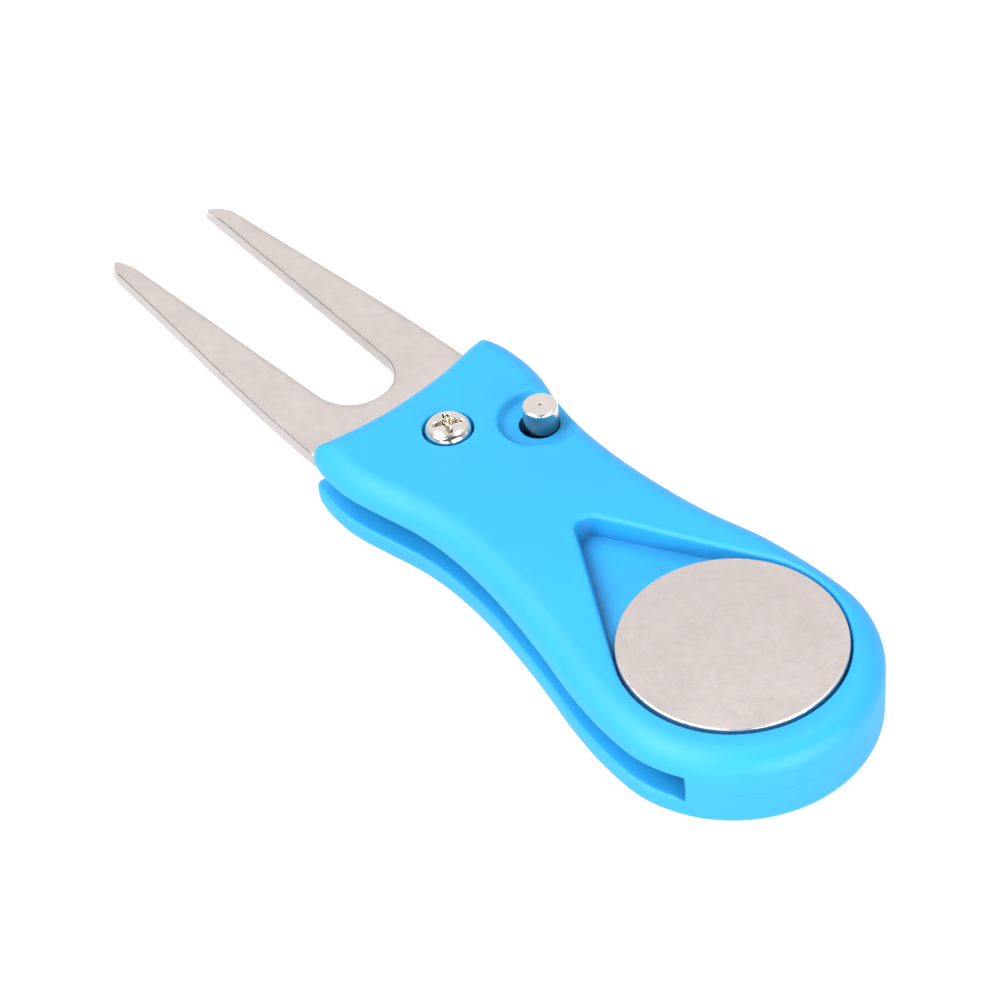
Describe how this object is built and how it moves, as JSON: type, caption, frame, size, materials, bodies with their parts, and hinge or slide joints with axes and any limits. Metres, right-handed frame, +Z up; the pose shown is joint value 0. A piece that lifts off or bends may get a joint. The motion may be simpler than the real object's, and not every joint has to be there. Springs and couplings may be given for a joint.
{
  "type": "folding divot repair tool",
  "caption": "Folding golf divot repair tool: two-shell handle, spring-opened fork that folds into a side slot, lock button and lift-out ball marker.",
  "frame": {"origin": "on the flat underside of the handle, half-way along the handle, under the fork's centre line", "axes": "+Z up out of the marker side, -X towards the open fork's tips, +X towards the round end, -Y towards the side slot that the fork folds into"},
  "size_m": [0.1213, 0.0322, 0.0119],
  "materials": {
    "handle_plastic": "satin moulded cyan-blue plastic",
    "fork_steel": "tumbled stainless steel",
    "marker_steel": "satin steel with fine scuffs and a polished edge",
    "nickel": "bright nickel plate",
    "spring_steel": "plain spring wire",
    "magnet": "nickel-plated magnet",
    "nylon": "natural nylon"
  },
  "bodies": {
    "handle": {"upper_shell": "handle_plastic", "lower_shell": "handle_plastic", "pivot_nut": "nickel", "pivot_screw": "nickel", "pivot_washer": "nylon", "torsion_spring": "spring_steel", "button_spring": "spring_steel", "marker_magnet": "magnet", "shell_screw": "nickel"},
    "fork": {"fork": "fork_steel"},
    "lock_button": {"lock_button": "nickel"},
    "ball_marker": {"ball_marker": "marker_steel"}
  },
  "joints": [
    {"name": "fork_pivot", "type": "hinge", "parent": "handle", "child": "fork", "pos_m": [-0.0268, 0, 0.00525], "axis": [0, 0, 1], "range_deg": [0, 175], "stiffness_Nm_per_rad": 0.01, "springref_deg": -22.92},
    {"name": "lock_button_press", "type": "slide", "parent": "handle", "child": "lock_button", "axis": [0, 0, -1], "range_m": [0, 0.0018], "stiffness_N_per_m": 400, "springref_m": -0.001, "deforming": ["button_spring"]},
    {"name": "marker_lift", "type": "slide", "parent": "handle", "child": "ball_marker", "axis": [0, 0, 1], "range_m": [0, 0.008]}
  ]
}
